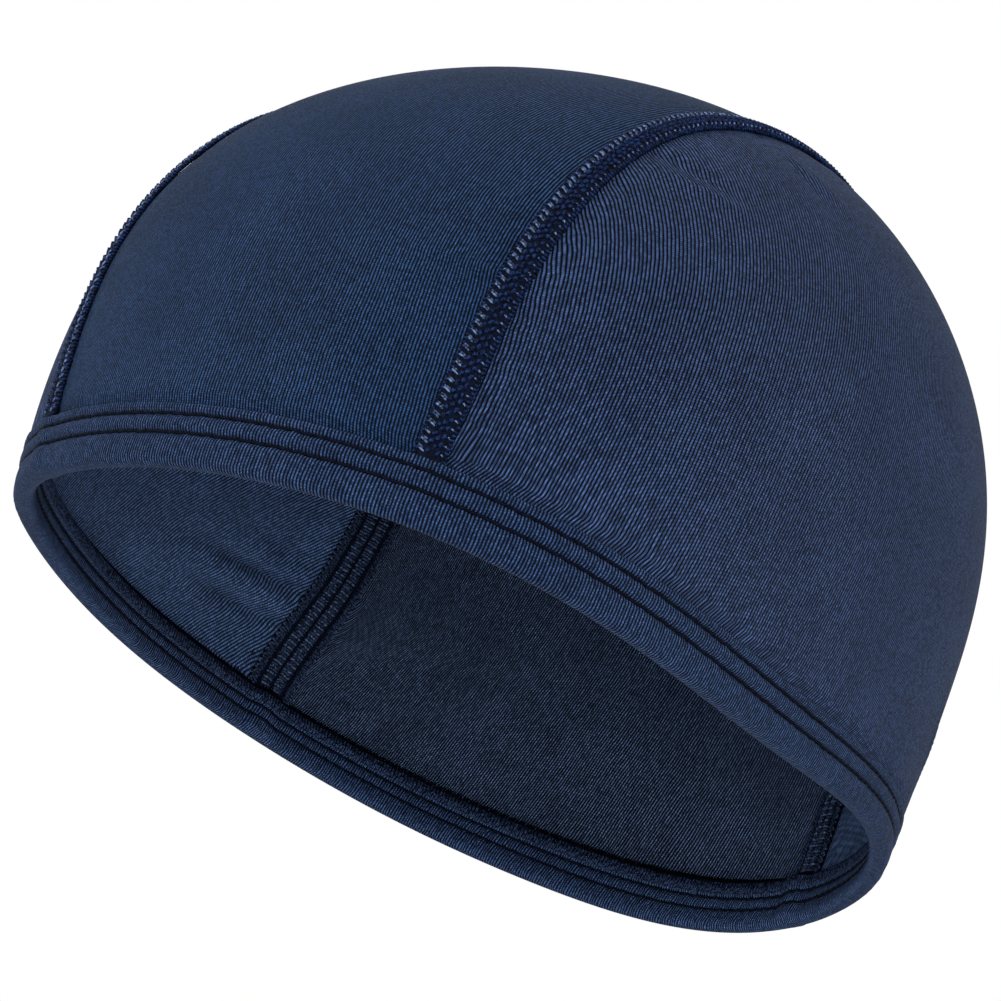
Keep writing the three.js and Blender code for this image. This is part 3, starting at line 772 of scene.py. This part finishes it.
def flatlockSeam(name, seamName, side):
    seam = seams[seamName]
    total = seam["along"][-1]
    rimGap = cloth["edgeHeight"]
    coverStart = flatlock["coverEnd"] - rimGap
    backStart = flatlock["backEnd"] - rimGap
    pitch = flatlock["pitch"]
    backWidth = flatlock["backWidth"][seamName]
    bedAndShadeSlot, needle, ladder, looper, overlock = range(len(seamThreads))
    draw = np.random.default_rng(5)
    part = newPart()

    # the back sinks a little at its ends, where the turn-up presses on it
    def sinkNearEnds(alongs):
        return -0.5 * (1 - smoothStep((np.minimum(alongs, total - alongs) - 9) / 2.2))

    # the bed outside, closed round the cut edges, and its wider back inside
    def bed(start, profile):
        alongs = np.arange(start, total - start, flatlock["bedStep"])
        besides = np.broadcast_to(profile[:, 0], (len(alongs), len(profile)))
        lifts = np.broadcast_to(profile[:, 1], besides.shape)
        grid = seamPoint(seam, np.broadcast_to(alongs[:, None], besides.shape), besides, lifts)
        places = np.stack(np.broadcast_arrays(np.arange(len(profile)) * 0.3, alongs[:, None]), -1)
        return alongs, grid, places

    # the bed's near-black colour is partly painted shade in the gaps between the loops
    top = roundedBed(flatlock["coverWidth"], -0.1, flatlock["coverTop"], 15)
    underHalf = flatlock["coverWidth"] / 2 - 0.5
    under = np.array([[underHalf, -0.15], [-underHalf, -0.15]])
    alongs, outer, places = bed(coverStart, np.vstack([top, under, top[:1]]))
    addGrid(part, outer, places, bedAndShadeSlot)
    backTop = roundedBed(backWidth, flatlock["backFace"] + 0.1, flatlock["backDrop"], 15)
    backUnder = np.array([[backWidth / 2 - 0.6, flatlock["backFace"] + 0.15],
                          [-backWidth / 2 + 0.6, flatlock["backFace"] + 0.15]])
    alongs, inner, places = bed(backStart, np.vstack([backTop, backUnder, backTop[:1]]))
    spread = besideSeam(seam, np.broadcast_to(alongs[:, None], inner.shape[:2]), 0)
    inner = inner + domeNormal(spread) * sinkNearEnds(alongs)[:, None, None]
    addGrid(part, inner[:, ::-1], places, bedAndShadeSlot)

    # strip side: pairs of slanting strands of needle thread, one pair to a stitch, pale from painted glints
    starts = np.arange(coverStart + 0.8, total - coverStart - 1.2, pitch)
    starts = starts + draw.uniform(-0.1, 0.1, len(starts))
    high = flatlock["coverTop"]
    rung = [(0.42, -2.2, high - 0.25), (0.32, -2.0, high + 0.06), (0.15, -1.65, high + 0.14),
            (-0.02, -1.25, high + 0.04), (-0.1, -1.0, high - 0.2)]
    stitchRow(part, seam, starts, rung, 0.17, needle, side)
    second = [(along, beside * 0.98, lift - 0.04) for along, beside, lift in rung]
    stitchRow(part, seam, starts + 0.4, second, 0.16, ladder, side)
    # panel side: one short stitch at a time, pale from painted glints
    dot = [(0.1, 1.45, high - 0.12), (0.02, 1.68, high + 0.14), (-0.08, 1.95, high - 0.12)]
    stitchRow(part, seam, starts + 0.3, dot, 0.14, needle, side)
    # looper threads lie in fat loops between the rows, staggered from row to row
    for column, shift in ((-0.62, 0.3), (0.15, 1.05), (0.95, 0.3)):
        lump = [(-0.45, column - 0.2, high - 0.3), (-0.2, column - 0.1, high + 0.06),
                (0.1, column + 0.08, high + 0.14), (0.35, column + 0.2, high - 0.02),
                (0.5, column + 0.25, high - 0.3)]
        lumpStarts = starts + shift + draw.uniform(-0.12, 0.12, len(starts))
        stitchRow(part, seam, lumpStarts, lump, [0.16, 0.3, 0.36, 0.28, 0.15], looper, side)
    # looper threads wrap over both edges of the bed
    wraps = np.arange(coverStart + 0.3, total - coverStart - 0.6, pitch / 2)
    for edge in (-1, 1):
        wrap = [(0, edge * 2.0, high - 0.05), (0.1, edge * 2.55, high - 0.35), (0.2, edge * 2.58, -0.12)]
        stitchRow(part, seam, wraps, wrap, 0.2, looper)

    # inside: two ladders of fat rungs between braided edges, with loops that wrap the edges
    backStarts = np.arange(backStart + 0.6, total - backStart - 0.8, pitch)
    low = flatlock["backDrop"]
    half = backWidth / 2
    sink = sinkNearEnds(backStarts)[:, None]
    reach = half * 0.2
    for column in (-half * 0.28, half * 0.28):
        rung = [(0.1, column - reach, low + 0.1), (0.0, column - reach * 0.7, low - 0.2),
                (-0.1, column + reach * 0.7, low - 0.2), (-0.2, column + reach, low + 0.1)]
        stitchRow(part, seam, backStarts, rung, 0.34, ladder, 1, sink)
        stitchRow(part, seam, backStarts + pitch / 2, rung, 0.3, overlock, 1, sink)
    for edge in (-1, 1):
        # each braided edge is two strands that cross and cross again
        for strand in (-1, 1):
            braid = [
                (pitch * t, edge * half * 0.8 + strand * half * 0.14 * math.cos(2 * math.pi * t),
                 low - 0.1 + strand * 0.12 * math.sin(2 * math.pi * t))
                for t in np.linspace(0, 1, 5)
            ]
            stitchRow(part, seam, backStarts, braid, 0.24, overlock, 1, sink, 4)
        loop = [(0.0, edge * half * 0.72, low + 0.05), (0.4, edge * half, low + 0.05),
                (0.75, edge * (half + 0.05), low + 0.2), (1.2, edge * half * 0.74, low + 0.05)]
        stitchRow(part, seam, backStarts, loop, 0.18, ladder, 1, sink, 4)
    return makePiece(name, part, [threadMaterials[thread] for thread in seamThreads])


seamPieces = {
    "leftFlatlock": flatlockSeam("leftFlatlock", "left", 1),
    "rightFlatlock": flatlockSeam("rightFlatlock", "right", -1),
}
print("flatlock seams sewn:", {name: len(piece.data.polygons) for name, piece in seamPieces.items()})


# The binding: a strip of knit folded round the edge and topstitched with a twin needle
binding = {
    "outer": 0.4,
    "slot": (-0.5, -2.1),  # the slot that grips the panels, between its outer and inner legs
    "slotFloor": 1.3,
    "turnUp": 9.6,
    "inner": -3.0,
    "rows": (5.4, 8.5),
    "innerRows": (3.9, 6.5),
    "grooveDepth": 0.8,
    "grooveWidth": 0.46,
    "innerGrooveDepth": 0.5,
    "innerGrooveWidth": 0.4,
    "overSeam": 0.5,  # how far the binding swells where it crosses a seam
    "overSeamInside": 1.0,
    "stitch": 2.4,
    "comb": 0.8,  # from one overlock loop to the next
    "columns": 1180,
}
bindingThreads = ["topstitchAndShade", "overlock"]


def bindingBand(name):
    size = binding
    angles = np.linspace(0, 2 * np.pi, size["columns"], endpoint=False)
    rim = domePoint(spreadAt(1.0, angles))
    girth = runningLength(np.vstack([rim, rim[:1]]))
    around, total = girth[:-1], girth[-1]

    def waves(pace, seed, at=around):
        return gathers(at, total / round(total / pace), seed)

    # 1 where the binding crosses a seam, and 0 a few millimetres away
    def overSeams(angle):
        cover = np.zeros(angle.shape)
        for seam in seams.values():
            for seamAngle in (seam["frontAngle"], seam["backAngle"]):
                away = np.mod(angle - seamAngle + np.pi, 2 * np.pi) - np.pi
                cover += np.exp(-(away * roundHead / 2.9) ** 4)
        return cover

    # the outside from the lip down to the fold, then the turn-up and back up inside the slot
    outerHeights = np.array([
        10.0, 9.8, 9.5, 9.1, 8.9, 8.75, 8.62, 8.5, 8.38, 8.25, 8.1, 7.6, 7.0, 6.4, 5.9, 5.72, 5.55,
        5.42, 5.3, 5.16, 5.0, 4.6, 4.0, 3.2, 2.4, 1.7, 1.1])
    innerHeights = np.array([
        1.1, 1.8, 2.6, 3.3, 3.65, 3.85, 4.0, 4.15, 4.35, 5.0, 5.7, 6.15, 6.35, 6.5, 6.65, 6.85, 7.3,
        8.0, 8.8, 9.4])
    foldTurns = np.linspace(0, np.pi, 11)[1:-1]
    middle = (size["outer"] + size["inner"]) / 2
    half = (size["outer"] - size["inner"]) / 2
    profile = [(size["slot"][0], 9.6, "slot"), (size["slot"][0] + 0.2, 10.1, "lip"),
               (size["slot"][0] + 0.5, 10.25, "lip")]
    profile += [(size["outer"], height, "outer") for height in outerHeights]
    profile += [(middle + half * math.cos(turn), 1.1 - 1.1 * math.sin(turn), "fold") for turn in foldTurns]
    profile += [(size["inner"], height, "inner") for height in innerHeights]
    profile += [(size["inner"] - 0.1, size["turnUp"], "edge"), (size["slot"][1], 9.3, "slot"),
                (size["slot"][1], size["slotFloor"], "slot"), (size["slot"][0], size["slotFloor"], "slot")]

    seamBump = overSeams(angles)
    lowRow, highRow = size["rows"]
    stitchTurn = 2 * np.pi * around / (total / round(total / size["stitch"]))
    bite = 0.8 + 0.2 * np.cos(stitchTurn)
    columns = []
    heights = []
    for lift, height, part in profile:
        lifts = np.full(len(angles), float(lift))
        levels = np.full(len(angles), float(height))
        if part in ("outer", "lip"):
            # the knit swells between the rows of stitches
            puff = 0.24 * math.sin(math.pi * min(max(height / lowRow, 0), 1))
            if height > lowRow:
                puff = 0.2 * math.sin(math.pi * min((height - lowRow) / (highRow - lowRow), 1))
            if height > highRow:
                puff = 0.12
            lifts += puff * (1 + 0.35 * waves(5.1, 21))
            for index, row in enumerate(size["rows"]):
                groove = math.exp(-((height - row) / size["grooveWidth"]) ** 2)
                lifts -= size["grooveDepth"] * groove * bite
                levels += 0.1 * groove * waves(4.3, 30 + index)
            lifts += size["overSeam"] * seamBump
        if part == "lip" or height > 9.3:
            levels += 0.1 * waves(3.4, 12)
        if part in ("inner", "edge"):
            lifts -= 0.12 * (1 + waves(4.7, 24))
            for row in size["innerRows"]:
                groove = math.exp(-((height - row) / size["innerGrooveWidth"]) ** 2)
                lifts += size["innerGrooveDepth"] * groove * bite
            if height > 7.2:
                lifts -= 0.45
                levels += 0.14 * waves(3.6, 15)
            lifts -= size["overSeamInside"] * seamBump
        columns.append(lifts)
        heights.append(levels)
    lifts, heights = np.stack(columns, 1), np.stack(heights, 1)
    spread = spreadAt(shareAtHeight(heights), angles[:, None])
    points = skinPoint(spread, lifts)
    ring = np.concatenate([points, points[:, :1]], axis=1)
    down = np.swapaxes(runningLength(np.swapaxes(ring, 0, 1)), 0, 1)
    pacedAround = np.broadcast_to(around[:, None], ring.shape[:2])
    part = newPart()
    foldEnd = 3 + len(outerHeights) + len(foldTurns) // 2 + 1
    closedRing = np.concatenate([ring, ring[:1]], axis=0)
    closedPlaces = np.stack([
        np.vstack([pacedAround, np.full((1, ring.shape[1]), total)]),
        np.vstack([down, down[:1]])], axis=-1)
    addGrid(part, closedRing[:, :foldEnd + 1], closedPlaces[:, :foldEnd + 1], 0)
    addGrid(part, closedRing[:, foldEnd:], closedPlaces[:, foldEnd:], 1)

    # needle stitches lie in the two grooves outside, and their loopers inside
    stitching = newPart()

    def turns(distance):
        return np.interp(np.mod(distance, total), girth, np.append(angles, 2 * np.pi))

    # sway, pace and seed are those of the groove that the stitches lie in
    def ringStitches(starts, shape, radius, slot, sway=0.0, pace=3.4, seed=12):
        along, height, lift = [np.array(column, float) for column in zip(*shape)]
        distance = starts[:, None] + along[None, :]
        angle = turns(distance)
        place = spreadAt(shareAtHeight(height + sway * waves(pace, seed, distance)), angle)
        normals = domeNormal(place)
        outside = lift.mean() > -1
        swell = size["overSeam"] if outside else -size["overSeamInside"]
        lifts = np.broadcast_to(lift, angle.shape) + swell * overSeams(angle)
        addThreads(stitching, domePoint(place) + normals * lifts[..., None], radius, normals, slot)

    topstitchAndShade, overlock = range(len(bindingThreads))
    starts = np.arange(0, total - size["stitch"] / 2, total / round(total / size["stitch"]))
    # the stitches' near-black is partly the thread and partly painted shade of the grooves
    for index, row in enumerate(size["rows"]):
        stitch = [(-0.1, row, -0.2), (0.3, row - 0.03, 0.0), (1.2, row, 0.06), (2.1, row + 0.03, 0.0),
                  (2.5, row, -0.2)]
        ringStitches(starts, stitch, 0.28, topstitchAndShade, 0.1, 4.3, 30 + index)
    for row in size["innerRows"]:
        stitch = [(-0.1, row - 0.08, -2.85), (0.6, row + 0.1, -3.05), (1.4, row - 0.1, -3.05),
                  (2.5, row + 0.08, -2.85)]
        ringStitches(starts, stitch, 0.27, topstitchAndShade)
    # overlock loops wrap the raw edge of the turn-up like a comb
    combs = np.arange(0, total - size["comb"] / 2, total / round(total / size["comb"]))
    comb = [(0.0, 7.3, -3.45), (0.1, 7.8, -3.78), (0.18, 8.7, -3.85), (0.26, 9.6, -3.75), (0.3, 9.95, -3.2)]
    ringStitches(combs, comb, 0.17, overlock)
    # thick near-black threads from the turn-up's edge on to the panels: painted shadow in the gap between
    # them
    shadowTeeth = [(0.4, 8.6, -3.6), (0.5, 9.7, -3.5), (0.6, 10.3, -2.9), (0.7, 11.0, -2.1), (0.75, 11.6, -1.5)]
    ringStitches(combs, shadowTeeth, 0.3, topstitchAndShade)
    runner = [(-0.05, 7.3, -3.5), (0.4, 7.2, -3.65), (0.85, 7.3, -3.5)]
    ringStitches(combs, runner, 0.15, overlock)
    strip = makePiece(name, part, [knitMaterials["bindingFace"], knitMaterials["bindingBack"]])
    sewn = makePiece(name + "Stitches", stitching, [threadMaterials[thread] for thread in bindingThreads])
    return strip, sewn


band, bandStitches = bindingBand("foldedBinding")
print("binding folded and topstitched:", len(band.data.polygons) + len(bandStitches.data.polygons))

# Which CAD nodes the pieces stand for, and which of the record's finishes they take
stands = {
    "centreStrip": ("centre_panel", "panel_knit"),
    "leftSideCloth": ("left_side_panel", "panel_knit"),
    "rightSideCloth": ("right_side_panel", "panel_knit"),
    "leftFlatlock": ("left_flatlock_seam", "seam_thread"),
    "rightFlatlock": ("right_flatlock_seam", "seam_thread"),
    "foldedBinding": ("hem_band", "binding_knit"),
}
for pieceName, (node, slot) in stands.items():
    piece = bpy.data.objects[pieceName]
    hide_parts(node)
    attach(piece, "root")

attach(bandStitches, "root")

# Camera: where the photograph was taken from, close below and in front of the wearer's left
viewpoint = {
    "azimuth": 31.93,
    "elevation": -21.5,
    "roll": 21.73,
    "distance": 0.4440,
    "shiftRight": 0.00349,
    "shiftUp": -0.0419,
    "lens": 85.08,
}


def makeCamera():
    azimuth, elevation, roll = [math.radians(viewpoint[key]) for key in ("azimuth", "elevation", "roll")]
    back = Vector((
        math.sin(azimuth) * math.cos(elevation),
        -math.cos(azimuth) * math.cos(elevation),
        math.sin(elevation)))
    right = Vector((math.cos(azimuth), math.sin(azimuth), 0))
    up = back.cross(right)
    place = back * viewpoint["distance"] - right * viewpoint["shiftRight"] - up * viewpoint["shiftUp"]
    tiltedRight = right * math.cos(roll) + up * math.sin(roll)
    tiltedUp = up * math.cos(roll) - right * math.sin(roll)
    lens = bpy.data.cameras.new("camera")
    lens.lens = viewpoint["lens"]
    lens.sensor_width = 36
    lens.clip_start = 0.01
    camera = bpy.data.objects.new("camera", lens)
    bpy.context.collection.objects.link(camera)
    turned = Matrix((tiltedRight, tiltedUp, back)).transposed().to_4x4()
    camera.matrix_world = Matrix.Translation(place) @ turned
    bpy.context.scene.camera = camera


makeCamera()

# Studio: a pale floor well below, a pale surround, two large soft lights and a small low one
studio = {
    "floorHeight": -0.32,
    "floorReach": 40.0,
    "floorPaint": "#f4f5f6",
    "surround": "#ffffff",
    "surroundStrength": 1.0,
    "softLights": [
        {"at": (-0.7, -1.1, 0.5), "size": 1.0, "power": 9.0},
        {"at": (1.3, -0.3, 0.7), "size": 0.9, "power": 1.0},
        {"at": (0.42, -0.5, -0.26), "size": 0.3, "power": 3.0},
    ],
}


def makeStudio():
    world = bpy.data.worlds.new("paleSurround")
    world.use_nodes = True
    background = world.node_tree.nodes["Background"]
    background.inputs["Color"].default_value = fromHex(studio["surround"])
    background.inputs["Strength"].default_value = studio["surroundStrength"]
    bpy.context.scene.world = world
    floorMesh = bpy.data.meshes.new("paleFloor")
    reach, low = studio["floorReach"], studio["floorHeight"]
    corners = [(-reach, -reach, low), (reach, -reach, low), (reach, reach, low), (-reach, reach, low)]
    floorMesh.from_pydata(corners, [], [(0, 1, 2, 3)])
    floor = bpy.data.objects.new("paleFloor", floorMesh)
    bpy.context.collection.objects.link(floor)
    paint, _, _ = newMaterial("mattWhiteFloorPaint", {
        "Base Color": fromHex(studio["floorPaint"]), "Roughness": 0.9})
    floorMesh.materials.append(paint)
    for index, light in enumerate(studio["softLights"]):
        lamp = bpy.data.lights.new(f"softLight{index}", "AREA")
        lamp.size = light["size"]
        lamp.energy = light["power"]
        lampObject = bpy.data.objects.new(f"softLight{index}", lamp)
        bpy.context.collection.objects.link(lampObject)
        lampObject.location = light["at"]
        lampObject.visible_camera = False
        aim = Vector((0, 0, 0.05)) - Vector(light["at"])
        lampObject.rotation_euler = aim.to_track_quat("-Z", "Y").to_euler()


makeStudio()
bpy.context.scene.view_settings.view_transform = "Standard"
print("camera, floor and lights placed")
